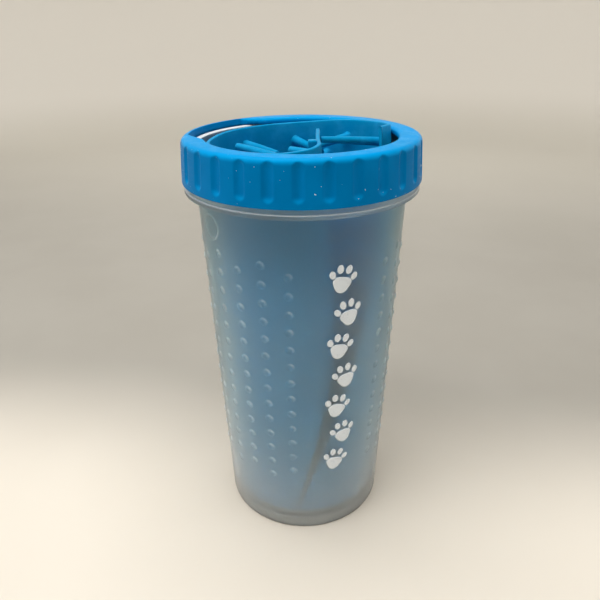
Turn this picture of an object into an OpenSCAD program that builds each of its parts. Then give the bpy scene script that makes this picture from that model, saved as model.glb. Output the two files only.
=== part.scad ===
// Paw washer cup: a tapered tumbler, a screw ring and a rolled bristle mat.
// Millimetres. Origin at the centre of the base, +Z up the cup's axis, -Y at the front.

/* [Cup] */
// Outer radius of the cup at its base
base_r = 38.2; // [37:0.1:40]
// Outer radius of the cup just under its collar
shoulder_r = 44.4; // [43.8:0.1:45]
// Thickness of the cup's wall
wall_t = 2; // [1.5:0.1:2.2]
// Height of the collar's underside
collar_z = 161.4; // [158:0.1:161.5]
// Outer radius of the collar
collar_r = 49.4; // [48.6:0.1:49.5]
// Height of the inside of the cup's floor
floor_z = 6.4; // [5:0.1:6.4]
// Thickness of the cup's floor
floor_t = 2.5; // [2:0.1:3]

/* [Screw ring] */
// Height from the base to the top of the ring
overall_h = 183; // [182.8:0.1:190]
// Outer radius of the ring at its top
ring_r = 49.5; // [49.3:0.1:52]
// Radius of the opening in the ring's lip
mouth_r = 39.6; // [39.3:0.1:41]
// Number of grip flutes round the ring
flute_count = 29; // [12:1:32]
// Rise of the ring for one full turn
thread_lead = 8; // [7:0.1:8]

/* [Grip dots] */
// Radius of one grip dot
dot_r = 1.6; // [1:0.1:2.4]
// Vertical distance from dot to dot in a column
dot_pitch = 8.27; // [7:0.01:8.4]
// Number of places for a column of dots round the cup
column_count = 25; // [25:1:26]

/* [Bristle mat] */
// Outer radius of the rolled mat at its top edge
mat_r = 38.8; // [37:0.1:38.8]
// Thickness of the mat's sheet
mat_t = 1.6; // [1.2:0.1:2]
// Length of one bristle
bristle_l = 24; // [15:0.5:24]

/* [Hidden] */
$fn = 96;

// Small amount by which one solid roots in another, or a cutter passes a face
root = 0.3;

// Cup
wall_slope = (shoulder_r - base_r) / collar_z;
foot_chamfer = 1.2;
corner_r = 4;
foot_r = base_r - 3.2;
recess_h = floor_z - floor_t;
collar_step_z = collar_z + 1.9;
collar_top = collar_z + 3.7;
collar_step = 0.8;
neck_r = 45.6;
neck_t = 2.4;
rim_z = overall_h - 2.9;
rim_chamfer = 0.6;

// Ring
ring_bottom = collar_top + 0.3;
ring_bore_r = 47.9;
ring_draft = 0.6;
lip_t = 2.5;
shoulder_round = 2;
lip_round = 0.8;
flute_r = 3.2;
flute_depth = 0.85;
flute_low = ring_bottom + 4.7;
flute_high = overall_h - 4.2;
flute_first = -91.4;
lip_gap_from = 128;
lip_gap_to = 181;
lip_gap_slant_from = 14;
lip_gap_slant_to = 18;
lip_gap_r = ring_r - 3.2;
land_r = 47.3;
land_h = 1.1;
land_play = 0.1;

// Thread
thread_w = 2.2;
thread_crest_w = 1.2;
neck_crest_r = neck_r + 1.3;
ring_crest_r = ring_bore_r - 1.6;
ring_thread_z = collar_top + 3;
neck_thread_z = ring_thread_z + 2.9;
neck_thread_turns = 0.8;
ring_thread_turns = 0.55;
turn_steps = 60;

// Dots
column_step = 360 / column_count;
column_first = -97.5;
dot_h = 0.5;
dots_long = 14;
dots_short = 13;
dot_top_long = 141;
side_columns = 11;
right_first = 4;

// Badge and print
badge_angle = -144.8;
badge_z = 151.5;
badge_r = 5.2;
badge_line = 0.9;
badge_h = 0.4;
print_angle = -67;
print_low = 43;
print_pitch = 15.4;
print_count = 7;
print_step_aside = 1.5;
print_tilt = 10;
paw_scale = 1.15;
ink_t = 0.12;
ink_root = 0.05;

// Mat
mat_bottom = floor_z + 2.6;
mat_top = overall_h - 1.5;
mat_h = mat_top - mat_bottom;
mat_foot_r = base_r - wall_t + wall_slope * mat_bottom - 0.4;
sheet_w = 219;
edge_high = 0;
edge_low = -95;
hook_l = 9.5;
hook_r = 3.5;
hook_turn = 50;
flap_l = 57;
curl_r = 16;
curl_turn = 115;
roll_steps = 60;
hook_steps = 4;
hook_end_steps = 2;
curl_steps = 10;
flap_steps = 3;
mat_levels = 8;
lug_w = 3.4;
lug_h = 4;
lug_x = 2.5;
lug_y = -21;
bristle_base_r = 2;
bristle_tip_r = 1.3;
bristle_pitch = 13;
bristle_edge = 13;
row_low = 20;
row_pitch = 14;
row_drop = 7;

cup_colour = [0.66, 0.72, 0.75, 0.6];
ring_colour = [0.02, 0.5, 0.82];
mat_colour = [0.05, 0.46, 0.7];
ink_colour = [0.95, 0.96, 0.96];

// Radius of the cup's outer wall at a height
function wall_r(z) = base_r + wall_slope * z;

// Radius of the cup's inner wall at a height
function inner_r(z) = wall_r(z) - wall_t;

// How far up the mat a height is, from 0 to 1
function mat_part(z) = (z - mat_bottom) / mat_h;

// Radius of the mat's outer face at a height
function mat_r_at(z) = mat_foot_r + (mat_r - mat_foot_r) * mat_part(z);

// Angle of the mat's first edge at a height: the sheet is rolled a little askew
function mat_edge(z) = edge_low + (edge_high - edge_low) * mat_part(z);

// Length of the loose end at a height: none at the foot, all of it at the top
function mat_flap(z) = flap_l * mat_part(z);

// Length of the first edge's inward hook at a height: none at the foot, all of it at the top
function mat_hook(z) = hook_l * mat_part(z);

// Angle at which the sheet leaves the wall at a height
function mat_leave(z) = mat_edge(z) + deg((sheet_w - mat_flap(z)) / (mat_r_at(z) - mat_t / 2));

function deg(radians) = radians * 180 / PI;

// Points of an arc about a centre, from one angle to another
function arc(centre, r, from, to, steps) = [
    for (i = [0 : steps])
        centre + r * [cos(from + (to - from) * i / steps), sin(from + (to - from) * i / steps)]
];

// ---- Cup ----

module cup_body() {
    color(cup_colour)
    rotate_extrude()
    polygon(concat([
        [0, recess_h],
        [foot_r, recess_h],
        [foot_r, 0],
        [base_r - foot_chamfer, 0],
        [wall_r(foot_chamfer), foot_chamfer],
        [wall_r(collar_z), collar_z],
        [collar_r, collar_z],
        [collar_r, collar_step_z],
        [collar_r - collar_step, collar_step_z],
        [collar_r - collar_step, collar_top],
        [neck_r, collar_top],
        [neck_r, rim_z - rim_chamfer],
        [neck_r - rim_chamfer, rim_z],
        [neck_r - neck_t + rim_chamfer, rim_z],
        [neck_r - neck_t, rim_z - rim_chamfer],
        [neck_r - neck_t, collar_top],
        [inner_r(collar_z), collar_z]
    ], arc([inner_r(floor_z + corner_r) - corner_r, floor_z + corner_r], corner_r, 0, -90, 5), [
        [0, floor_z]
    ]));
}

// A helical ridge of trapezoid section, rising anticlockwise
module thread_ridge(root_r, crest_r, low_z, turns) {
    steps = round(turn_steps * turns);
    section = [
        [root_r, -thread_w / 2],
        [root_r, thread_w / 2],
        [crest_r, thread_crest_w / 2],
        [crest_r, -thread_crest_w / 2]
    ];
    points = [
        for (i = [0 : steps])
            for (p = section)
                let (a = 360 * turns * i / steps)
                [p[0] * cos(a), p[0] * sin(a), low_z + p[1] + thread_lead * a / 360]
    ];
    flip = root_r < crest_r ? 1 : 0;
    sides = [
        for (i = [0 : steps - 1])
            for (j = [0 : 3])
                let (k = (j + 1) % 4)
                [4 * i + j, 4 * i + k, 4 * i + 4 + k, 4 * i + 4 + j]
    ];
    ends = [[3, 2, 1, 0], [4 * steps, 4 * steps + 1, 4 * steps + 2, 4 * steps + 3]];
    faces = concat(sides, ends);
    polyhedron(points, [for (f = faces) flip == 1 ? f : [f[3], f[2], f[1], f[0]]]);
}

module neck_thread() {
    color(cup_colour)
    thread_ridge(neck_r - root, neck_crest_r, neck_thread_z, neck_thread_turns);
}

// One blunt dot standing out of the sloping wall
module grip_dot(angle, z) {
    rotate([0, 0, angle])
    translate([wall_r(z) - root, 0, z])
    rotate([0, 90 - atan(wall_slope), 0])
    cylinder(h = dot_h + root, r1 = dot_r, r2 = dot_r * 0.55, $fn = 32);
}

// A column of dots; every other column is shifted by half a pitch
module dot_column(index) {
    long = abs(index) % 2 == 1;
    count = long ? dots_long : dots_short;
    top = long ? dot_top_long : dot_top_long - dot_pitch / 2;
    for (i = [0 : count - 1])
        grip_dot(column_first + index * column_step, top - i * dot_pitch);
}

module grip_dots_left() {
    color(cup_colour)
    for (index = [0 : side_columns - 1])
        dot_column(-index);
}

// The right side starts past the blank field that holds the print
module grip_dots_right() {
    color(cup_colour)
    for (index = [right_first : right_first + side_columns - 1])
        dot_column(index);
}

// A plain raised circle below the collar
module cup_badge() {
    color(cup_colour)
    rotate([0, 0, badge_angle])
    translate([wall_r(badge_z) - root, 0, badge_z])
    rotate([0, 90 - atan(wall_slope), 0])
    difference() {
        cylinder(h = badge_h + root + 0.3, r = badge_r);
        translate([0, 0, -1])
        cylinder(h = badge_h + 3, r = badge_r - badge_line);
    }
}

// Flat outline of a simple paw print, toes along +Y
module paw_outline() {
    scale(paw_scale) {
        translate([0, -1.6])
        circle(r = 2.6);
        translate([-1.7, -2.9])
        circle(r = 1.5);
        translate([1.7, -2.9])
        circle(r = 1.5);
        for (side = [-1, 1]) {
            translate([side * 4, 0.9])
            circle(r = 1.25);
            translate([side * 1.6, 3.1])
            circle(r = 1.4);
        }
    }
}

// A thin skin on the outside of the wall between two heights
module wall_skin(low, high) {
    rotate_extrude()
    polygon([
        [wall_r(low) - ink_root, low],
        [wall_r(low) + ink_t, low],
        [wall_r(high) + ink_t, high],
        [wall_r(high) - ink_root, high]
    ]);
}

module side_print() {
    color(ink_colour)
    intersection() {
        wall_skin(print_low - 10, print_low + print_pitch * print_count);
        rotate([0, 0, print_angle])
        for (i = [0 : print_count - 1])
            translate([0, print_step_aside * (i % 2 * 2 - 1), print_low + i * print_pitch])
            rotate([0, 90, 0])
            rotate([0, 0, 90 + print_tilt * (i % 2 * 2 - 1)])
            linear_extrude(height = ring_r)
            paw_outline();
    }
}

// ---- Screw ring ----

// Revolved section of the ring: skirt, rounded shoulder and lip
module ring_section() {
    lip_z = overall_h - lip_t;
    polygon(concat(
        [[ring_bore_r, ring_bottom], [ring_r + ring_draft, ring_bottom]],
        arc([ring_r - shoulder_round, overall_h - shoulder_round], shoulder_round, 0, 90, 5),
        arc([mouth_r + lip_round, overall_h - lip_round], lip_round, 90, 180, 3),
        [[mouth_r, lip_z], [ring_bore_r, lip_z]]
    ));
}

// Cutter for one upright groove with round ends
module flute() {
    translate([ring_r + flute_r - flute_depth, 0, 0]) {
        translate([0, 0, flute_low])
        cylinder(h = flute_high - flute_low, r = flute_r);
        translate([0, 0, flute_low])
        sphere(r = flute_r);
        translate([0, 0, flute_high])
        sphere(r = flute_r);
    }
}

// Cutter for the stretch of the lip that is missing at the back left; its ends slant inwards
module lip_gap() {
    inner_from = lip_gap_from - lip_gap_slant_from;
    inner_to = lip_gap_to + lip_gap_slant_to;
    inner_r = mouth_r - 0.6;
    translate([0, 0, overall_h - lip_t - 0.1])
    linear_extrude(height = lip_t + 1)
    polygon(concat(
        [inner_r * [cos(inner_from), sin(inner_from)]],
        arc([0, 0], lip_gap_r, lip_gap_from, lip_gap_to, 18),
        [inner_r * [cos(inner_to), sin(inner_to)]],
        [[0, 0]]
    ));
}

module ring_shell() {
    color(ring_colour)
    difference() {
        rotate_extrude()
        ring_section();
        for (i = [0 : flute_count - 1])
            rotate([0, 0, flute_first + i * 360 / flute_count])
            flute();
        lip_gap();
    }
}

module ring_thread() {
    color(ring_colour)
    thread_ridge(ring_bore_r + root, ring_crest_r, ring_thread_z, ring_thread_turns);
}

// Smooth band at the foot of the ring's bore, below its thread
module ring_land() {
    color(ring_colour)
    rotate_extrude()
    translate([land_r, ring_bottom + 0.2])
    square([ring_bore_r - land_play - land_r, land_h]);
}

// ---- Bristle mat ----

// The hook's points at a height, from its tip to the place where it meets the wall
function mat_hook_line(z) =
    let (
        r = mat_r_at(z) - mat_t / 2,
        start = mat_edge(z) + deg(mat_hook(z) / r),
        turn = min(hook_turn, deg(mat_hook(z) / hook_r)),
        straight = max(0, mat_hook(z) - hook_r * hook_turn * PI / 180),
        bend_c = (r - hook_r) * [cos(start), sin(start)],
        bend = arc(bend_c, hook_r, start, start - turn, hook_steps),
        heading = start - turn - 90,
        ahead = [cos(heading), sin(heading)],
        end_step = 0.1 + straight / hook_end_steps
    )
    concat(
        [for (i = [hook_end_steps : -1 : 1]) bend[hook_steps] + end_step * i * ahead],
        [for (i = [hook_steps : -1 : 1]) bend[i] + 0.01 * i * ahead]
    );

// Middle line of the rolled sheet at a height, seen from above: hook, round the cup, then the loose end
function mat_line(z) =
    let (
        r = mat_r_at(z) - mat_t / 2,
        start = mat_edge(z) + deg(mat_hook(z) / r),
        leave = mat_leave(z),
        turn = min(curl_turn, deg(mat_flap(z) / curl_r)),
        straight = max(0, mat_flap(z) - curl_r * curl_turn * PI / 180),
        roll = arc([0, 0], r, start, leave, roll_steps),
        curl_c = (r - curl_r) * [cos(leave), sin(leave)],
        curl = arc(curl_c, curl_r, leave, leave + turn, curl_steps),
        heading = leave + turn + 90,
        ahead = [cos(heading), sin(heading)]
    )
    concat(
        mat_hook_line(z),
        roll,
        [for (i = [1 : curl_steps]) curl[i] + 0.01 * i * ahead],
        [for (i = [1 : flap_steps]) curl[curl_steps] + (0.1 * i + straight * i / flap_steps) * ahead]
    );

// Outline of a strip of even thickness along a line of points
function strip(line, half) =
    let (
        last = len(line) - 1,
        along = [for (i = [0 : last]) line[min(i + 1, last)] - line[max(i - 1, 0)]],
        side = [for (d = along) [-d[1], d[0]] / norm(d)]
    )
    concat(
        [for (i = [0 : last]) line[i] + half * side[i]],
        [for (i = [last : -1 : 0]) line[i] - half * side[i]]
    );

// The sheet as a stack of strip outlines joined by flat triangles
module mat_sheet() {
    heights = [for (k = [0 : mat_levels]) mat_bottom + mat_h * k / mat_levels];
    rings = [for (z = heights) [for (p = strip(mat_line(z), mat_t / 2)) [p[0], p[1], z]]];
    n = len(rings[0]);
    last = n * mat_levels;
    foot = [for (i = [0 : n / 2 - 2]) [i, n - 1 - i, n - 2 - i, i + 1]];
    head = [for (f = foot) [for (j = [3 : -1 : 0]) last + f[j]]];
    lower = [
        for (k = [0 : mat_levels - 1])
            for (i = [0 : n - 1])
                [n * k + i, n * k + (i + 1) % n, n * k + n + i]
    ];
    upper = [
        for (k = [0 : mat_levels - 1])
            for (i = [0 : n - 1])
                [n * k + (i + 1) % n, n * k + n + (i + 1) % n, n * k + n + i]
    ];
    color(mat_colour)
    polyhedron([for (ring = rings) for (p = ring) p], concat(foot, head, lower, upper));
}

// Small square tab on the inner face of the loose end
module mat_lug() {
    color(mat_colour)
    translate([lug_x, lug_y, mat_top - lug_h])
    cube([lug_w, lug_w, lug_h]);
}

// One tapered bristle that points at the axis
module bristle(angle, z) {
    rotate([0, 0, angle])
    translate([mat_r_at(z) - mat_t + root, 0, z])
    rotate([0, -90, 0])
    cylinder(h = bristle_l, r1 = bristle_base_r, r2 = bristle_tip_r, $fn = 32);
}

// One row of bristles on the rolled part; every other bristle sits half a row lower
module bristle_row(number) {
    row_z = row_low + (number - 1) * row_pitch;
    room = sheet_w - mat_flap(row_z) - bristle_edge;
    count = floor((room - bristle_edge) / bristle_pitch) + 1;
    color(mat_colour)
    for (i = [0 : count - 1]) {
        s = bristle_edge + i * bristle_pitch;
        z = row_z - (i % 2) * row_drop;
        bristle(mat_edge(z) + deg(s / (mat_r_at(z) - mat_t / 2)), z);
    }
}

cup_body();
neck_thread();
grip_dots_left();
grip_dots_right();
cup_badge();
side_print();
ring_shell();
ring_thread();
ring_land();
mat_sheet();
mat_lug();
bristle_row(1);  // bristle_row_01
bristle_row(2);  // bristle_row_02
bristle_row(3);  // bristle_row_03
bristle_row(4);  // bristle_row_04
bristle_row(5);  // bristle_row_05
bristle_row(6);  // bristle_row_06
bristle_row(7);  // bristle_row_07
bristle_row(8);  // bristle_row_08
bristle_row(9);  // bristle_row_09
bristle_row(10);  // bristle_row_10
bristle_row(11);  // bristle_row_11
bristle_row(12);  // bristle_row_12
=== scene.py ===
"""Looks of the paw washer cup: a frosted tumbler, a blue screw ring and a rolled bristle mat."""

import math
import random

import bpy
import numpy as np
from mathutils import Matrix, Vector


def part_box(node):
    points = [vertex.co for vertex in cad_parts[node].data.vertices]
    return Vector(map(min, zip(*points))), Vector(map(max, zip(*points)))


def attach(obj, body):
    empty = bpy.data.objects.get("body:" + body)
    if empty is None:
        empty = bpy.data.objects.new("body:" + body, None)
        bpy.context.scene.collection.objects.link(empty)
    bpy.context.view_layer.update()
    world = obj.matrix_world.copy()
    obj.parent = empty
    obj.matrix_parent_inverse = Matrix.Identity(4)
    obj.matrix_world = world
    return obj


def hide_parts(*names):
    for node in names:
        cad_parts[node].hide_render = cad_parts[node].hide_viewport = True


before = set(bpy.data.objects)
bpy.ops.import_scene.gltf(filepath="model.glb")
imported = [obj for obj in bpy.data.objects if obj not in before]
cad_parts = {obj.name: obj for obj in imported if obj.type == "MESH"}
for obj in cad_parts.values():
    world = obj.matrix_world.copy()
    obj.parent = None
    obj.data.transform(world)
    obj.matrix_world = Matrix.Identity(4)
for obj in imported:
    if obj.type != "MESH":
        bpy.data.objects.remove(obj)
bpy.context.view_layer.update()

# ---------------------------------------------------------------- sizes, in millimetres

MM = 0.001


def box_mm(node):
    low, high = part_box(node)
    return np.array(low) / MM, np.array(high) / MM


CUP_HIGH = box_mm("cup_body")[1]
RING_LOW, RING_HIGH = box_mm("ring_shell")
MAT_LOW, MAT_HIGH = box_mm("mat_sheet")

BASE_R = 38.2
SHOULDER_R = 44.4
WALL_T = 2.0
COLLAR_Z = 161.4
COLLAR_R = CUP_HIGH[0]
COLLAR_STEP = 0.8
COLLAR_STEP_Z = COLLAR_Z + 1.9
COLLAR_TOP = COLLAR_Z + 3.7
NECK_R = 45.6
NECK_T = 2.4
RIM_Z = CUP_HIGH[2]
FLOOR_Z = 6.4
RECESS_H = 3.9
FOOT_R = BASE_R - 3.2
CORNER_R = 4.0
WALL_SLOPE = (SHOULDER_R - BASE_R) / COLLAR_Z

RING_BOTTOM = RING_LOW[2]
RING_TOP = RING_HIGH[2]
RING_FOOT_R = RING_HIGH[0]
RING_R = RING_FOOT_R - 0.6
RING_BORE_R = 47.9
MOUTH_R = 39.6
LIP_T = 2.5
RING_TOP_R = RING_R - 0.5
SHOULDER_ROUND = 2.4
LIP_ROUND = 1.8
FLUTES = 29
FLUTE_FIRST = -91.4
FLUTE_R = 3.2
FLUTE_DEPTH = 1.0
FLUTE_SOFT = 0.08
FLUTE_LOW = RING_BOTTOM + 4.7
FLUTE_HIGH = RING_TOP - 3.2
GAP_FROM = 128
GAP_TO = 181
GAP_SLANT_FROM = 14
GAP_SLANT_TO = 18
GAP_R = RING_R - 3.2

DOT_R = 1.75
DOT_H = 0.5
DOT_PITCH = 8.27
COLUMNS = 25
COLUMN_FIRST = -97.5
DOT_TOP = 141.0
DOTS_LONG = 14
DOTS_SHORT = 13

BADGE_ANGLE = -144.8
BADGE_Z = 151.5
BADGE_R = 4.75
BADGE_H = 0.45
BADGE_HALF_LINE = 0.6

PRINT_ANGLE = -67
PRINT_LOW = 43
PRINT_PITCH = 15.4
PRINT_COUNT = 7
PRINT_ASIDE = 1.5
PRINT_TILT = 10
PAW_SCALE = 1.15
INK_T = 0.1

MAT_BOTTOM = MAT_LOW[2]
MAT_TOP = MAT_HIGH[2]
MAT_R = 38.8
MAT_T = 1.6
MAT_FOOT_R = BASE_R - WALL_T + WALL_SLOPE * MAT_BOTTOM - 0.7
SHEET_W = 219
SHEET_WAVE = 0.22
EDGE_HIGH = 0
EDGE_LOW = -95
HOOK_L = 9.5
HOOK_R = 3.5
HOOK_TURN = math.radians(50)
FLAP_L = 57
# how the hook and the loose end grow with height: 1 is evenly
END_GROWTH = 1.4
CURL_R = 16
CURL_TURN = math.radians(115)
ROW_LOW = 20
ROW_PITCH = 14
ROW_DROP = 7
ROWS = 12
BRISTLE_L = 24.5
BRISTLE_BASE_R = 2.0
BRISTLE_TIP_R = 1.3
BRISTLE_PITCH = 13
BRISTLE_EDGE = 13
BRISTLE_ROOT = 0.35

# the mat stands askew in the cup: how far its top edge is above the level one, at places along it
RIM_MARKS = (0, 12, 42, 62, 119, 151, 175, 196, SHEET_W)
RIM_RISE = (3.4, 3.1, 1.1, -0.7, -1.4, 0.4, 0.8, 1.6, 2.2)

# bristles of the top row that stand out: place in the row, then how far up, yaw, rise and length
TOP_ROW_BENDS = {0: (0, 4, 0.13, 1.22), 4: (-0.8, 24, -0.02, 1.0)}
# bristles of the curl that lean across the mouth: along the sheet, height, yaw, rise and length
CURL_BRISTLES = [(175, 178, 33, 0.13, 1.1), (185, 179, 4, 0.15, 0.36)]


def wall_r(z):
    return BASE_R + WALL_SLOPE * z


# ---------------------------------------------------------------- camera, light, floor

CAMERA_BACK = 0.2414
CAMERA_UP = 0.2263
CAMERA_PITCH = math.radians(26.48)
CAMERA_ROLL = math.radians(-0.68)
CAMERA_YAW = math.radians(-0.32)
LENS = 34.37


def make_camera():
    data = bpy.data.cameras.new("camera")
    data.lens = LENS
    data.sensor_width = 36
    data.clip_start = 0.01
    camera = bpy.data.objects.new("camera", data)
    bpy.context.collection.objects.link(camera)
    ahead = Vector((
        math.sin(CAMERA_YAW) * math.cos(CAMERA_PITCH),
        math.cos(CAMERA_YAW) * math.cos(CAMERA_PITCH),
        -math.sin(CAMERA_PITCH),
    ))
    right = ahead.cross(Vector((0, 0, 1))).normalized()
    up = right.cross(ahead)
    rolled_right = right * math.cos(CAMERA_ROLL) + up * math.sin(CAMERA_ROLL)
    rolled_up = up * math.cos(CAMERA_ROLL) - right * math.sin(CAMERA_ROLL)
    turn = Matrix((rolled_right, rolled_up, -ahead)).transposed()
    camera.matrix_world = Matrix.Translation((0, -CAMERA_BACK, CAMERA_UP)) @ turn.to_4x4()
    bpy.context.scene.camera = camera


def area_light(name, place, target, size, watts, colour):
    data = bpy.data.lights.new(name, "AREA")
    data.shape = "RECTANGLE"
    data.size, data.size_y = size
    data.energy = watts
    data.color = colour
    light = bpy.data.objects.new(name, data)
    light.location = place
    light.rotation_euler = (Vector(target) - Vector(place)).to_track_quat("-Z", "Y").to_euler()
    light.visible_camera = False
    bpy.context.collection.objects.link(light)


def make_lights():
    """A broad lamp overhead, weak ones from the left and the right, and one for the backdrop."""
    middle = (0, 0, 0.1)
    area_light("key", (-0.1, -0.03, 1.05), middle, (0.9, 0.9), 13.2, (1.0, 0.99, 0.97))
    area_light("side", (-0.9, -0.4, 0.5), middle, (0.5, 0.5), 1.9, (0.97, 0.98, 1.0))
    area_light("room", (1.0, -0.15, 0.5), middle, (0.3, 0.3), 1.2, (0.97, 0.98, 1.0))
    area_light("backdrop", (0, 0.5, 0.75), (0, 1.3, 0.15), (2.0, 0.3), 4.6, (1.0, 0.99, 0.97))
    world = bpy.data.worlds.new("world")
    bpy.context.scene.world = world
    world.use_nodes = True
    background = world.node_tree.nodes["Background"]
    background.inputs["Color"].default_value = (0.80, 0.79, 0.77, 1)
    background.inputs["Strength"].default_value = 0.09
    bpy.context.scene.view_settings.view_transform = "Standard"


# ---------------------------------------------------------------- materials


class Shader:
    """One Principled material with a short way to add nodes to it."""

    def __init__(self, name, **sockets):
        self.material = bpy.data.materials.new(name)
        self.material.use_nodes = True
        self.tree = self.material.node_tree
        self.main = self.tree.nodes["Principled BSDF"]
        for key, value in sockets.items():
            self.main.inputs[key.replace("_", " ")].default_value = value
        self.place = self.add("ShaderNodeTexCoord").outputs["Object"]

    def add(self, kind, **settings):
        node = self.tree.nodes.new(kind)
        for key, value in settings.items():
            setattr(node, key, value)
        return node

    def link(self, source, target):
        self.tree.links.new(source, target)

    def noise(self, scale, detail=3.0, rough=0.5, stretch=None):
        node = self.add("ShaderNodeTexNoise")
        node.inputs["Scale"].default_value = scale
        node.inputs["Detail"].default_value = detail
        node.inputs["Roughness"].default_value = rough
        source = self.place
        if stretch:
            mapping = self.add("ShaderNodeMapping")
            mapping.inputs["Scale"].default_value = stretch
            self.link(self.place, mapping.inputs["Vector"])
            source = mapping.outputs["Vector"]
        self.link(source, node.inputs["Vector"])
        return node.outputs["Fac"]

    def remap(self, value, low, high, to_low, to_high):
        node = self.add("ShaderNodeMapRange", interpolation_type="SMOOTHSTEP")
        for key, number in zip(("From Min", "From Max", "To Min", "To Max"), (low, high, to_low, to_high)):
            node.inputs[key].default_value = number
        self.link(value, node.inputs["Value"])
        return node.outputs["Result"]

    def math(self, operation, a, b):
        node = self.add("ShaderNodeMath", operation=operation)
        for socket, value in zip(node.inputs, (a, b)):
            if isinstance(value, (int, float)):
                socket.default_value = value
            else:
                self.link(value, socket)
        return node.outputs[0]

    def mix(self, factor, colour_a, colour_b):
        node = self.add("ShaderNodeMix", data_type="RGBA")
        self.link(factor, node.inputs["Factor"])
        sockets = [s for s in node.inputs if s.type == "RGBA"]
        for socket, value in zip(sockets, (colour_a, colour_b)):
            if isinstance(value, tuple):
                socket.default_value = (*value, 1)
            else:
                self.link(value, socket)
        return [s for s in node.outputs if s.type == "RGBA"][0]

    def axis(self, name):
        node = self.add("ShaderNodeSeparateXYZ")
        self.link(self.place, node.inputs[0])
        return node.outputs[name]

    def facing(self, direction):
        """How far the surface faces a direction, from -1 to 1 for a direction of length 1."""
        node = self.add("ShaderNodeVectorMath", operation="DOT_PRODUCT")
        self.link(self.add("ShaderNodeNewGeometry").outputs["Normal"], node.inputs[0])
        node.inputs[1].default_value = direction
        return node.outputs["Value"]

    def bump(self, height, distance, strength=1.0):
        node = self.add("ShaderNodeBump")
        node.inputs["Distance"].default_value = distance
        node.inputs["Strength"].default_value = strength
        self.link(height, node.inputs["Height"])
        self.link(node.outputs["Normal"], self.main.inputs["Normal"])

    def set(self, socket, source):
        self.link(source, self.main.inputs[socket])


def frosted_plastic():
    """Milky translucent moulded plastic with a fine grain and faint upright drag marks.

    It is clearest above mid height and whiter towards the thick foot and the collar. What faces up,
    such as the collar's step, has a painted highlight, and so do the raised circle and one side of
    every dot, as pale crescents. Just under the collar the wall has painted shade."""
    s = Shader("cup_plastic", IOR=1.3, Coat_Weight=0.5, Coat_Roughness=0.13)
    height = s.axis("Z")
    foot = s.remap(height, 0.0, 0.08, 1, 0)
    top = s.remap(height, 0.159, 0.164, 0, 1)
    milk = s.math("MAXIMUM", foot, top)
    # painted highlight: pale where the cup faces up, on the raised circle and along one side of every dot
    dots = s.add("ShaderNodeAttribute", attribute_name="painted_highlight").outputs["Fac"]
    painted_highlight = s.math("MAXIMUM", s.remap(s.facing((0.2, 0, 0.98)), 0.34, 0.55, 0, 1), dots)
    clear = s.remap(height, 0.09, 0.15, 0.94, 0.985)
    # the painted highlight lowers transmission, more strongly from the collar up, on top of the milky haze
    painted_highlight_share = s.math("MULTIPLY", painted_highlight, s.remap(height, 0.159, 0.164, 0.32, 0.75))
    haze_and_highlight = s.math("ADD", s.math("MULTIPLY", milk, 0.09), painted_highlight_share)
    s.set("Transmission Weight", s.math("SUBTRACT", clear, haze_and_highlight))
    cloud = s.remap(s.noise(38, 4, 0.55), 0.35, 0.7, 0, 1)
    blue = s.mix(cloud, (0.67, 0.88, 0.94), (0.73, 0.91, 0.94))
    # painted shade: the wall darkens just under the collar
    blue = s.mix(s.remap(height, 0.12, 0.158, 0, 1), blue, (0.56, 0.76, 0.80))
    # pale: the milky foot and collar, and the painted highlight
    pale = s.math("MAXIMUM", s.math("MAXIMUM", foot, painted_highlight), s.math("MULTIPLY", top, 0.7))
    s.set("Base Color", s.mix(pale, blue, (0.90, 0.94, 0.95)))
    grain = s.noise(1800, 2, 0.6)
    drag = s.noise(260, 3, 0.6, (1, 1, 0.06))
    s.set("Roughness", s.remap(drag, 0.3, 0.75, 0.38, 0.5))
    s.bump(s.math("ADD", grain, s.math("MULTIPLY", drag, 0.5)), 0.00008, 0.6)
    return s.material


def white_ink():
    """Flat white print, a little thin where the wall has been rubbed."""
    s = Shader("print_ink", Roughness=0.5)
    rub = s.noise(420, 4, 0.7)
    s.set("Base Color", s.mix(s.remap(rub, 0.55, 0.75, 0, 1), (0.80, 0.87, 0.94), (0.66, 0.74, 0.82)))
    s.bump(rub, 0.00005, 0.5)
    return s.material


def ring_plastic():
    """Satin blue plastic, lighter where it faces up as painted light from above, with pale scuffs on its
    two sides and fine scratches round it."""
    s = Shader("ring_plastic", Roughness=0.38, IOR=1.15)
    s.main.inputs["Specular Tint"].default_value = (0.0, 0.75, 1.0, 1)
    flow = s.remap(s.noise(60, 3, 0.5), 0.3, 0.7, 0, 1)
    skirt = s.mix(flow, (0.0, 0.18, 0.47), (0.0, 0.197, 0.51))
    bright = s.mix(flow, (0.0, 0.27, 0.61), (0.0, 0.29, 0.66))
    # painted light: a lighter blue where the ring faces up
    blue = s.mix(s.remap(s.facing((0, 0, 1)), 0.02, 0.75, 0, 1), skirt, bright)
    side = s.remap(s.math("ABSOLUTE", s.axis("X"), 0), 0.044, 0.049, 0, 1)
    chips = s.remap(s.noise(620, 3, 0.65), 0.64, 0.67, 0, 1)
    specks = s.remap(s.noise(640, 2, 0.6), 0.735, 0.75, 0, 1)
    scuff = s.math("MAXIMUM", s.math("MULTIPLY", side, chips), specks)
    s.set("Base Color", s.mix(scuff, blue, (0.60, 0.74, 0.84)))
    hairs = s.noise(900, 3, 0.7, (0.25, 0.25, 2.2))
    s.set("Roughness", s.remap(hairs, 0.3, 0.8, 0.32, 0.5))
    s.bump(s.math("SUBTRACT", s.math("MULTIPLY", hairs, 0.25), scuff), 0.00012, 0.7)
    return s.material


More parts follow.
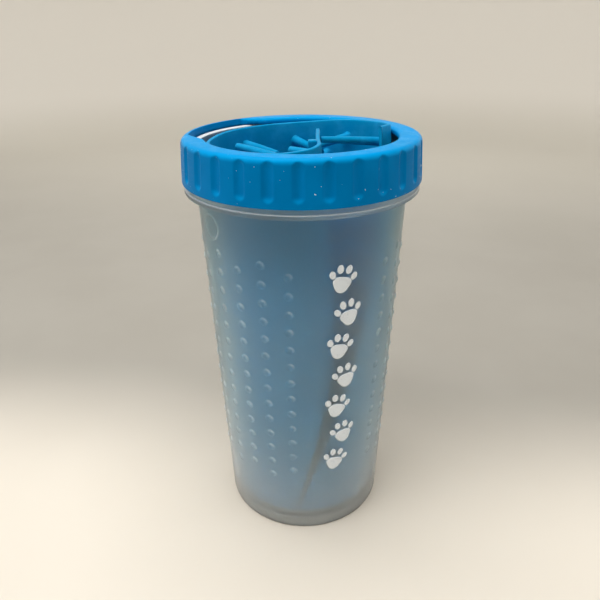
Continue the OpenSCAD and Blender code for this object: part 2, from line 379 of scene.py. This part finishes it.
def silicone():
    """Soft matt blue silicone with a bloom of fine dust."""
    s = Shader("mat_silicone", Roughness=0.5, IOR=1.25)
    s.main.inputs["Specular Tint"].default_value = (0.0, 0.6, 1.0, 1)
    bloom = s.noise(150, 4, 0.6)
    s.set("Base Color", s.mix(s.remap(bloom, 0.35, 0.75, 0, 1), (0.0, 0.255, 0.52), (0.01, 0.305, 0.60)))
    fine = s.noise(1400, 2, 0.6)
    s.set("Roughness", s.remap(bloom, 0.3, 0.8, 0.42, 0.6))
    s.bump(fine, 0.00006, 0.5)
    return s.material


def floor_with_painted_shade():
    """Pale matt paint with painted shade, brightest in front of the cup and darkest just behind it."""
    s = Shader("floor_with_painted_shade", Roughness=0.75)
    cloud = s.remap(s.noise(9, 3, 0.5), 0.3, 0.7, 0, 1)
    front = s.mix(cloud, (0.78, 0.72, 0.625), (0.80, 0.74, 0.645))
    back = s.mix(cloud, (0.36, 0.338, 0.296), (0.38, 0.358, 0.316))
    # painted shade: the floor darkens behind the cup and a little to the right
    away = s.math("ADD", s.axis("Y"), s.math("MULTIPLY", s.axis("X"), 0.15))
    floor = s.mix(s.remap(away, -0.04, 0.1, 0, 1), front, back)
    floor = s.mix(s.remap(away, 0.3, 0.9, 0, 1), floor, (0.53, 0.50, 0.435))
    wall = s.remap(s.axis("Z"), 0.0, 0.08, 0, 1)
    s.set("Base Color", s.mix(wall, floor, (0.62, 0.585, 0.525)))
    return s.material


# ---------------------------------------------------------------- mesh helpers


def make_mesh(name, verts, faces, material):
    """A smooth mesh object from points in millimetres."""
    mesh = bpy.data.meshes.new(name)
    mesh.from_pydata((np.asarray(verts) * MM).tolist(), [], [tuple(f) for f in faces])
    mesh.validate()
    mesh.shade_smooth()
    mesh.materials.append(material)
    thing = bpy.data.objects.new(name, mesh)
    bpy.context.collection.objects.link(thing)
    return thing


def stand_for(thing, body, slot, *nodes):
    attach(thing, body)
    if nodes:
        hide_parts(*nodes)


def grid_faces(rows, columns, close_rows=False, close_columns=True):
    """Four-sided faces of a grid of points stored row after row."""
    row_count = rows if close_rows else rows - 1
    column_count = columns if close_columns else columns - 1
    i, j = np.meshgrid(np.arange(row_count), np.arange(column_count), indexing="ij")
    i, j = i.ravel(), j.ravel()
    down, across = (i + 1) % rows, (j + 1) % columns
    return np.stack([
        i * columns + j, i * columns + across, down * columns + across, down * columns + j,
    ], axis=1).tolist()


def rounded_path(corners, steps=5):
    """A path through (radius, height, rounding) corners, each rounding as an arc."""
    points = []
    for k, (r, z, rounding) in enumerate(corners):
        here = np.array([r, z], float)
        if rounding == 0 or k in (0, len(corners) - 1):
            points.append(here)
            continue
        before = np.array(corners[k - 1][:2], float) - here
        after = np.array(corners[k + 1][:2], float) - here
        before /= np.linalg.norm(before)
        after /= np.linalg.norm(after)
        half = math.acos(np.clip(before @ after, -1, 1)) / 2
        centre = here + (before + after) / np.linalg.norm(before + after) * rounding / math.sin(half)
        first = here + before * rounding / math.tan(half) - centre
        last = here + after * rounding / math.tan(half) - centre
        sweep = math.pi - 2 * half
        for i in range(steps + 1):
            t = i / steps
            part = (math.sin((1 - t) * sweep) * first + math.sin(t * sweep) * last) / math.sin(sweep)
            points.append(centre + part)
    return np.array(points)


def fill_path(path, pitch):
    """The same path with points added so that none are further apart than pitch."""
    out = [path[0]]
    for a, b in zip(path[:-1], path[1:]):
        count = max(1, math.ceil(np.linalg.norm(b - a) / pitch))
        out.extend(a + (b - a) * i / count for i in range(1, count + 1))
    return np.array(out)


def smooth_step(x):
    x = np.clip(x, 0, 1)
    return x * x * (3 - 2 * x)


def turned(radius, height, angle):
    """Points of a turned surface from grids of radius, height and angle."""
    return np.stack([radius * np.cos(angle), radius * np.sin(angle), height], axis=-1).reshape(-1, 3)


# ---------------------------------------------------------------- cup

COLUMN_TURN = 2 * math.pi / COLUMNS
# columns of dots on the left and on the right, with a bare stretch in front for the print
DOT_COLUMNS = [*range(-10, 1), *range(4, 15)]
CUP_SIDES = COLUMNS * 24
WALL_ROW = DOT_PITCH / 21
# radius where the fan of faces at the middle of the floor begins
HUB_R = 2
# how strongly the mesh's columns gather where the dots are: 0 is evenly spread
GATHER = 0.62


def cup_angles():
    """Angles round the cup, closest together where the columns of dots stand."""
    even = np.arange(CUP_SIDES) * 2 * math.pi / CUP_SIDES
    return math.radians(COLUMN_FIRST) + even - GATHER / COLUMNS * np.sin(even * COLUMNS)


def angle_apart(a, b):
    return (a - b + math.pi) % (2 * math.pi) - math.pi


def from_dot(angle, z):
    """Distances across and up from the nearest place for a dot in each column."""
    for index in DOT_COLUMNS:
        centre = math.radians(COLUMN_FIRST) + index * COLUMN_TURN
        is_long = abs(index) % 2 == 1
        top = DOT_TOP if is_long else DOT_TOP - DOT_PITCH / 2
        count = DOTS_LONG if is_long else DOTS_SHORT
        nearest = np.clip(np.round((top - z) / DOT_PITCH), 0, count - 1)
        yield angle_apart(angle, centre) * wall_r(z), z - (top - nearest * DOT_PITCH)


def grip_dots(angle, z):
    """How far the wall stands out at the grip dots, which are low domes with steep edges."""
    height = np.zeros_like(z)
    for across, up in from_dot(angle, z):
        inside = np.clip(1 - (up ** 2 + across ** 2) / DOT_R ** 2, 0, 1)
        height = np.maximum(height, DOT_H * inside ** 0.8)
    return height


def dot_painted_highlight(angle, z):
    """Painted highlight, from 0 to 1: pale crescents along the upper right edges of the dots."""
    painted_highlight = np.zeros_like(z)
    for across, up in from_dot(angle, z):
        away = np.hypot(across, up) + 1e-6
        band = smooth_step(1 - np.abs(away / DOT_R - 0.8) / 0.3)
        painted_highlight = np.maximum(painted_highlight, band * smooth_step((across * 0.6 + up * 0.8) / away * 1.2))
    return painted_highlight


def raised_circle(angle, z):
    """A plain raised ring under the collar."""
    across = angle_apart(angle, math.radians(BADGE_ANGLE)) * wall_r(z)
    away = np.abs(np.hypot(across, z - BADGE_Z) - BADGE_R)
    return BADGE_H * smooth_step(1 - away / BADGE_HALF_LINE)


def make_cup(material):
    under = rounded_path([
        (HUB_R, RECESS_H, 0), (FOOT_R, RECESS_H, 1.0), (FOOT_R, 0, 0.5), (BASE_R, 0, 1.3), (wall_r(4), 4, 0),
    ])
    wall_z = np.arange(4 + WALL_ROW, COLLAR_Z - 2.5, WALL_ROW)
    wall = np.stack([wall_r(wall_z), wall_z], axis=1)
    bore_r = NECK_R - NECK_T
    above = rounded_path([
        (wall_r(COLLAR_Z - 2), COLLAR_Z - 2, 0),
        (wall_r(COLLAR_Z), COLLAR_Z, 0.8),
        (COLLAR_R, COLLAR_Z, 0.4),
        (COLLAR_R, COLLAR_STEP_Z, 0.5),
        (COLLAR_R - COLLAR_STEP, COLLAR_STEP_Z, 0.2),
        (COLLAR_R - COLLAR_STEP, COLLAR_TOP, 0.3),
        (NECK_R, COLLAR_TOP, 0.4),
        (NECK_R, RIM_Z, 0.7),
        (bore_r, RIM_Z, 0.7),
        (bore_r, COLLAR_TOP, 1.5),
        (wall_r(COLLAR_Z) - WALL_T, COLLAR_Z, 1.5),
        (wall_r(FLOOR_Z) - WALL_T, FLOOR_Z, CORNER_R),
        (HUB_R, FLOOR_Z, 0),
    ], 6)
    path = np.concatenate([fill_path(under, 5), wall, fill_path(above, 9)])
    radius = np.repeat(path[:, :1], CUP_SIDES, axis=1)
    height = np.repeat(path[:, 1:], CUP_SIDES, axis=1)
    angle = np.repeat(cup_angles()[None, :], len(path), axis=0)
    first = len(fill_path(under, 5))
    span = slice(first, first + len(wall))
    radius[span] += grip_dots(angle[span], height[span]) + raised_circle(angle[span], height[span])
    verts = turned(radius, height, angle)
    faces = grid_faces(len(path), CUP_SIDES)
    count = len(verts)
    verts = np.concatenate([verts, [[0, 0, RECESS_H], [0, 0, FLOOR_Z]]])
    last = (len(path) - 1) * CUP_SIDES
    for j in range(CUP_SIDES):
        k = (j + 1) % CUP_SIDES
        faces.append((j, count, k))
        faces.append((last + j, last + k, count + 1))
    cup = make_mesh("cup_moulding", verts, faces, material)
    # painted highlight along the dots' upper right edges and on the raised circle, stored on the mesh
    painted_highlight = np.zeros(len(verts))
    painted_highlight[first * CUP_SIDES:(first + len(wall)) * CUP_SIDES] = np.maximum(
        dot_painted_highlight(angle[span], height[span]), raised_circle(angle[span], height[span])).ravel()
    cup.data.attributes.new("painted_highlight", "FLOAT", "POINT").data.foreach_set("value", painted_highlight)
    stand_for(cup, "cup", "cup_plastic", "cup_body", "grip_dots_left", "grip_dots_right", "cup_badge")


# ---------------------------------------------------------------- print


def blob(centre, radii, turn, wobble, rings=6, spokes=40):
    """A rounded flat patch as rings of points about its centre."""
    points = [centre]
    for ring in range(1, rings + 1):
        for k in range(spokes):
            a = 2 * math.pi * k / spokes
            grow = ring / rings * (1 + wobble(a))
            x = radii[0] * grow * math.cos(a)
            y = radii[1] * grow * math.sin(a)
            points.append((
                centre[0] + x * math.cos(turn) - y * math.sin(turn),
                centre[1] + x * math.sin(turn) + y * math.cos(turn),
            ))
    faces = [(0, 1 + k, 1 + (k + 1) % spokes) for k in range(spokes)]
    for ring in range(rings - 1):
        for k in range(spokes):
            a, b = 1 + ring * spokes, 1 + (ring + 1) * spokes
            n = (k + 1) % spokes
            faces.append((a + k, b + k, b + n, a + n))
    return points, faces, spokes


def pad_wobble(a):
    """Three soft lobes at the heel of the pad and one at its front."""
    return 0.10 * math.cos(3 * (a + math.pi / 2)) - 0.05 * math.cos(2 * a)


def make_print(material):
    patches = [((0, -2.2), (3.5, 2.9), 0, pad_wobble)]
    for side in (-1, 1):
        patches.append(((side * 4.0, 0.9), (1.15, 1.5), side * -0.45, lambda a: 0))
        patches.append(((side * 1.6, 3.2), (1.2, 1.65), side * -0.15, lambda a: 0))
    verts, faces = [], []
    for step in range(PRINT_COUNT):
        side = step % 2 * 2 - 1
        tilt = math.radians(PRINT_TILT * side)
        for centre, radii, turn, wobble in patches:
            points, patch_faces, spokes = blob(centre, radii, turn, wobble)
            start = len(verts)
            count = len(points)
            for lift in (INK_T, 0.02):
                for x, y in points:
                    x, y = x * PAW_SCALE, y * PAW_SCALE
                    across = x * math.cos(tilt) - y * math.sin(tilt) + PRINT_ASIDE * side
                    z = x * math.sin(tilt) + y * math.cos(tilt) + PRINT_LOW + step * PRINT_PITCH
                    a = math.radians(PRINT_ANGLE) + across / wall_r(z)
                    r = wall_r(z) + lift
                    verts.append((r * math.cos(a), r * math.sin(a), z))
            faces += [tuple(start + v for v in f) for f in patch_faces]
            faces += [tuple(start + count + v for v in reversed(f)) for f in patch_faces]
            rim = count - spokes
            for k in range(spokes):
                a, b = start + rim + k, start + rim + (k + 1) % spokes
                faces.append((a, a + count, b + count, b))
    thing = make_mesh("paw_prints", verts, faces, material)
    stand_for(thing, "cup", "print_ink", "side_print")


# ---------------------------------------------------------------- ring

RING_SIDES = FLUTES * 26


def flute(angle, z):
    """Depth of the nearest grip flute at a place on the ring's skirt."""
    pitch = 2 * math.pi / FLUTES
    across = ((angle - math.radians(FLUTE_FIRST) + pitch / 2) % pitch - pitch / 2) * RING_R
    up = np.maximum(FLUTE_LOW - z, 0) + np.maximum(z - FLUTE_HIGH, 0)
    away = np.hypot(across, up)
    deep = np.sqrt(np.maximum(FLUTE_R ** 2 - away ** 2, 0)) - (FLUTE_R - FLUTE_DEPTH)
    return np.where(deep > 0, np.sqrt(np.maximum(deep, 0) ** 2 + FLUTE_SOFT ** 2) - FLUTE_SOFT, 0)


def mouth_radius(angle):
    """Radius of the lip's inner edge round the ring, with its missing stretch."""
    degrees = np.degrees(angle) % 360
    inner = MOUTH_R - 0.6

    def place(r, turn):
        return np.array([r * math.cos(math.radians(turn)), r * math.sin(math.radians(turn))])

    def chord(from_angle, to_angle):
        a, b = place(inner, from_angle), place(GAP_R, to_angle)
        normal = np.array([b[1] - a[1], a[0] - b[0]])
        return (normal @ a) / (normal[0] * np.cos(angle) + normal[1] * np.sin(angle))

    start, end = GAP_FROM - GAP_SLANT_FROM, GAP_TO + GAP_SLANT_TO
    radius = np.full_like(angle, MOUTH_R)
    rising = (degrees > start) & (degrees < GAP_FROM)
    falling = (degrees > GAP_TO) & (degrees < end)
    open_part = (degrees >= GAP_FROM) & (degrees <= GAP_TO)
    radius = np.where(rising, np.maximum(chord(start, GAP_FROM), MOUTH_R), radius)
    radius = np.where(falling, np.maximum(chord(end, GAP_TO), MOUTH_R), radius)
    radius = np.where(open_part, GAP_R, radius)
    ragged = 0.16 * np.sin(degrees * 1.7) + 0.12 * np.sin(degrees * 3.1 + 1) + 0.08 * np.sin(degrees * 6.7)
    damaged = smooth_step((degrees - start) / 3) * smooth_step((end - degrees) / 3) * ~open_part
    return radius + (ragged - 0.1) * damaged


def make_ring(material):
    corners = [
        (RING_BORE_R + 0.6, RING_BOTTOM, 0),
        (RING_FOOT_R, RING_BOTTOM, 0.45),
        (RING_TOP_R, RING_TOP, SHOULDER_ROUND),
        (MOUTH_R, RING_TOP, LIP_ROUND),
        (MOUTH_R, RING_TOP - LIP_T, 0.3),
        (RING_BORE_R, RING_TOP - LIP_T, 0.4),
        (RING_BORE_R, RING_BOTTOM + 0.6, 0),
    ]
    path = fill_path(rounded_path(corners, 7), 0.55)
    angle = np.linspace(0, 2 * math.pi, RING_SIDES, endpoint=False)
    angle = np.repeat(angle[None, :], len(path), axis=0)
    radius = np.repeat(path[:, :1], RING_SIDES, axis=1)
    height = np.repeat(path[:, 1:], RING_SIDES, axis=1)
    mouth = mouth_radius(angle)
    lip = height > RING_TOP - LIP_T - 0.01
    edge = lip & (radius <= MOUTH_R + LIP_ROUND)
    keep = RING_TOP_R - SHOULDER_ROUND
    flat = lip & ~edge & (radius < keep)
    room = np.clip((keep - mouth) / LIP_ROUND - 0.05, 0.1, 1)
    edge_end = mouth + LIP_ROUND * room
    share = (radius - MOUTH_R - LIP_ROUND) / (keep - MOUTH_R - LIP_ROUND)
    stretched = edge_end + share * (keep - edge_end)
    radius = np.where(edge, mouth + (radius - MOUTH_R) * room, np.where(flat, stretched, radius))
    skirt = (radius > RING_BORE_R + 0.4) & (height > RING_BOTTOM + 0.5)
    radius = radius - np.where(skirt, flute(angle, height), 0)
    ring = make_mesh("ring_moulding", turned(radius, height, angle),
                     grid_faces(len(path), RING_SIDES, close_rows=True), material)
    stand_for(ring, "ring", "ring_plastic", "ring_shell")


# ---------------------------------------------------------------- mat


def mat_part(z):
    return (z - MAT_BOTTOM) / (MAT_TOP - MAT_BOTTOM)


def mat_line(s, z):
    """Middle of the rolled sheet at a distance s along it and a height z.

    Gives x, y and the direction in which the sheet's inner face looks."""
    part = np.clip(mat_part(z), 0, 1)
    r = MAT_FOOT_R + (MAT_R - MAT_FOOT_R) * part - MAT_T / 2
    hook, flap = HOOK_L * part ** END_GROWTH, FLAP_L * part ** END_GROWTH
    edge = np.radians(EDGE_LOW + (EDGE_HIGH - EDGE_LOW) * part)
    start = edge + hook / r
    leave = edge + (SHEET_W - flap) / r
    # round the wall
    angle = edge + np.clip(s, hook, SHEET_W - flap) / r
    x, y, face = r * np.cos(angle), r * np.sin(angle), angle + math.pi
    # the first edge hooks inward
    before = np.clip(hook - s, 0, None)
    turn = np.minimum(before / HOOK_R, HOOK_TURN)
    straight = np.clip(before - HOOK_R * HOOK_TURN, 0, None)
    hook_x = (r - HOOK_R) * np.cos(start) + HOOK_R * np.cos(start - turn) + straight * np.sin(start - turn)
    hook_y = (r - HOOK_R) * np.sin(start) + HOOK_R * np.sin(start - turn) - straight * np.cos(start - turn)
    x, y = np.where(before > 0, hook_x, x), np.where(before > 0, hook_y, y)
    face = np.where(before > 0, start - turn + math.pi, face)
    # the loose end curls across the mouth
    past = np.clip(s - (SHEET_W - flap), 0, None)
    turn = np.minimum(past / CURL_R, CURL_TURN)
    straight = np.clip(past - CURL_R * CURL_TURN, 0, None)
    flap_x = (r - CURL_R) * np.cos(leave) + CURL_R * np.cos(leave + turn) - straight * np.sin(leave + turn)
    flap_y = (r - CURL_R) * np.sin(leave) + CURL_R * np.sin(leave + turn) + straight * np.cos(leave + turn)
    x, y = np.where(past > 0, flap_x, x), np.where(past > 0, flap_y, y)
    face = np.where(past > 0, leave + turn + math.pi, face)
    return x, y, face


def mat_rim(s):
    """Height of the sheet's top edge along it: the mat stands askew in the cup."""
    rises = [np.interp(s + shift, RIM_MARKS, RIM_RISE) for shift in range(-8, 9, 2)]
    return MAT_TOP + np.mean(rises, axis=0)


def mat_height(s, z):
    """A height on the level sheet as it is once the sheet stands askew."""
    return MAT_BOTTOM + mat_part(z) * (mat_rim(s) - MAT_BOTTOM)


def mat_point(s, z, inward):
    """A point of the sheet, moved inward from its middle line."""
    x, y, face = mat_line(s, z)
    fade = smooth_step(mat_part(z) * 4) * smooth_step((s - HOOK_L) / 20) * SHEET_WAVE
    inward = inward + fade * (np.sin(s * 0.21 + z * 0.016) + 0.6 * np.sin(s * 0.09 - z * 0.035))
    return np.stack([x + inward * np.cos(face), y + inward * np.sin(face), mat_height(s, z)], axis=-1)


def make_sheet(material):
    across = 400
    half = MAT_T / 2
    rounding = 0.45
    tall = MAT_TOP - MAT_BOTTOM
    loop = rounded_path([
        (-half, tall / 2, 0), (-half, tall, rounding), (half, tall, rounding), (half, 0, rounding),
        (-half, 0, rounding), (-half, tall / 2, 0),
    ], 3)[:-1]
    loop = fill_path(np.concatenate([loop, loop[:1]]), 2.5)[:-1]
    s = np.linspace(0, SHEET_W, across)
    s_grid = np.repeat(s[None, :], len(loop), axis=0)
    inward = np.repeat(loop[:, :1], across, axis=1)
    z = MAT_BOTTOM + np.repeat(loop[:, 1:], across, axis=1)
    verts = mat_point(s_grid, z, inward).reshape(-1, 3)
    n = len(loop)
    faces = grid_faces(n, across, close_rows=True, close_columns=False)
    for end in (0, across - 1):
        faces += end_cap(loop, end, across, end == 0)
    sheet = make_mesh("bristle_mat_sheet", verts, faces, material)
    stand_for(sheet, "mat", "mat_silicone", "mat_sheet")


def end_cap(loop, column, across, flip):
    """Faces that close one end of the sheet, as a ladder between its two faces."""
    n = len(loop)
    order = sorted(range(n), key=lambda i: (loop[i][1], loop[i][0]))
    left = [i for i in order if loop[i][0] < 0]
    right = [i for i in order if loop[i][0] >= 0]
    faces = []
    i = j = 0
    i_last, j_last = len(left) - 1, len(right) - 1
    while i < i_last or j < j_last:
        if j == j_last or (i < i_last and loop[left[i + 1]][1] <= loop[right[j + 1]][1]):
            face = (left[i], right[j], left[i + 1])
            i += 1
        else:
            face = (left[i], right[j], right[j + 1])
            j += 1
        face = tuple(k * across + column for k in face)
        faces.append(face if flip else face[::-1])
    return faces


def bristle(root, lean, droop, sway, sides=16):
    """Points and faces of one soft tapered bristle with a blunt tip, from its root point along lean."""
    length = np.linalg.norm(lean)
    lean = lean / length
    side = np.cross(lean, (0, 0, 1))
    side /= np.linalg.norm(side)
    up = np.cross(side, lean)
    stations = [(0, BRISTLE_BASE_R + 0.7), (0.35, BRISTLE_BASE_R + 0.25)] + [
        (share * length, BRISTLE_BASE_R + (BRISTLE_TIP_R - BRISTLE_BASE_R) * share)
        for share in np.linspace(0.05, 0.98, 10)
    ] + [(length - 0.15, BRISTLE_TIP_R - 0.08), (length, BRISTLE_TIP_R - 0.3)]

    def middle(along):
        t = along / length
        return root + lean * along - np.array([0, 0, droop * t * t]) + side * sway * t * t

    verts = []
    for along, r in stations:
        for k in range(sides):
            a = 2 * math.pi * k / sides
            verts.append(middle(along) + r * (math.cos(a) * side + math.sin(a) * up))
    faces = grid_faces(len(stations), sides)
    faces.append(tuple(range(sides - 1, -1, -1)))
    verts.append(middle(length))
    tip = len(verts) - 1
    last = (len(stations) - 1) * sides
    faces += [(last + k, last + (k + 1) % sides, tip) for k in range(sides)]
    return verts, faces


def bristle_places(number):
    """Where the bristles of one row stand: distance along the sheet, height, yaw, rise and length."""
    draw = random.Random(number)
    row_z = ROW_LOW + (number - 1) * ROW_PITCH
    flap = FLAP_L * mat_part(row_z)
    places = []
    for i in range(int((SHEET_W - flap - 2 * BRISTLE_EDGE) / BRISTLE_PITCH) + 1):
        z = row_z - i % 2 * ROW_DROP
        s = BRISTLE_EDGE + i * BRISTLE_PITCH
        yaw, rise, grow = draw.uniform(-6, 6), draw.uniform(-0.06, 0.05), draw.uniform(0.97, 1.05)
        if number == ROWS and i in TOP_ROW_BENDS:
            up, yaw, rise, grow = TOP_ROW_BENDS[i]
            z += up
        places.append((s, z, yaw, rise, grow))
    s = SHEET_W - flap + 9
    while s < SHEET_W - 7:
        z = row_z - ROW_DROP / 2
        places.append((s, z, draw.uniform(-5, 5), draw.uniform(-0.05, 0.03), draw.uniform(0.85, 0.95)))
        s += BRISTLE_PITCH
    return places + (CURL_BRISTLES if number == ROWS else [])


def make_bristles(material):
    for number in range(1, ROWS + 1):
        draw = random.Random(number + 100)
        verts, faces = [], []
        for s, z, yaw, rise, grow in bristle_places(number):
            x, y, face = (float(v) for v in mat_line(np.array(float(s)), np.array(float(z))))
            inner = MAT_T / 2 - BRISTLE_ROOT
            up = float(mat_height(s, z))
            root = np.array([x + inner * math.cos(face), y + inner * math.sin(face), up])
            face += math.radians(yaw)
            lean = np.array([math.cos(face), math.sin(face), rise]) * BRISTLE_L * grow
            more_verts, more_faces = bristle(root, lean, draw.uniform(0.2, 1.4), draw.uniform(-1, 1))
            start = len(verts)
            verts += more_verts
            faces += [tuple(start + v for v in f) for f in more_faces]
        thing = make_mesh(f"bristles_{number:02d}", verts, faces, material)
        stand_for(thing, "mat", "mat_silicone", f"bristle_row_{number:02d}")


def make_tab(material):
    """The small square tab on the loose end, with soft corners."""
    low, high = box_mm("mat_lug")
    middle, half = (low + high) / 2, (high - low) / 2
    middle[2] += RIM_RISE[-1]
    round_r = 0.5
    steps = 5
    spread = [k / steps for k in range(-steps, steps + 1)]
    grid = grid_faces(len(spread), len(spread), close_columns=False)
    verts, faces, known = [], [], {}
    for axis in range(3):
        for sign in (-1, 1):
            patch = []
            for u in spread:
                for v in spread:
                    p = np.zeros(3)
                    p[axis] = sign
                    p[(axis + 1) % 3] = u
                    p[(axis + 2) % 3] = v
                    q = p * half
                    core = np.clip(q, -(half - round_r), half - round_r)
                    out = q - core
                    length = np.linalg.norm(out)
                    if tuple(p) not in known:
                        known[tuple(p)] = len(verts)
                        verts.append(middle + core + (out / length * round_r if length > 0 else 0))
                    patch.append(known[tuple(p)])
            quads = [tuple(patch[k] for k in q) for q in grid]
            faces += quads if sign < 0 else [q[::-1] for q in quads]
    thing = make_mesh("mat_tab", verts, faces, material)
    stand_for(thing, "mat", "mat_silicone", "mat_lug")


# ---------------------------------------------------------------- scene


def make_floor():
    """A pale floor that rises all round, far out, into a soft backdrop."""
    flat, bend, tall, sides = 950, 350, 500, 96
    path = [(1, 0)] + [(flat * k / 8, 0) for k in range(1, 9)]
    path += [
        (flat + bend * math.sin(a), bend * (1 - math.cos(a))) for a in np.linspace(0.1, math.pi / 2, 12)
    ]
    path = np.array(path + [(flat + bend, bend + tall)])
    angle = np.linspace(0, 2 * math.pi, sides, endpoint=False)
    angle = np.repeat(angle[None, :], len(path), axis=0)
    radius = np.repeat(path[:, :1], sides, axis=1)
    height = np.repeat(path[:, 1:], sides, axis=1)
    faces = grid_faces(len(path), sides)
    faces.append(tuple(range(sides)))
    floor = make_mesh("floor", turned(radius, height, angle), [f[::-1] for f in faces], floor_with_painted_shade())


def dress(node, material):
    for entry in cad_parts[node].material_slots:
        entry.material = material


make_camera()
make_lights()
make_floor()
cup_material = frosted_plastic()
ring_material = ring_plastic()
mat_material = silicone()
make_cup(cup_material)
make_print(white_ink())
make_ring(ring_material)
make_sheet(mat_material)
make_bristles(mat_material)
make_tab(mat_material)
dress("neck_thread", cup_material)
dress("ring_thread", ring_material)
dress("ring_land", ring_material)
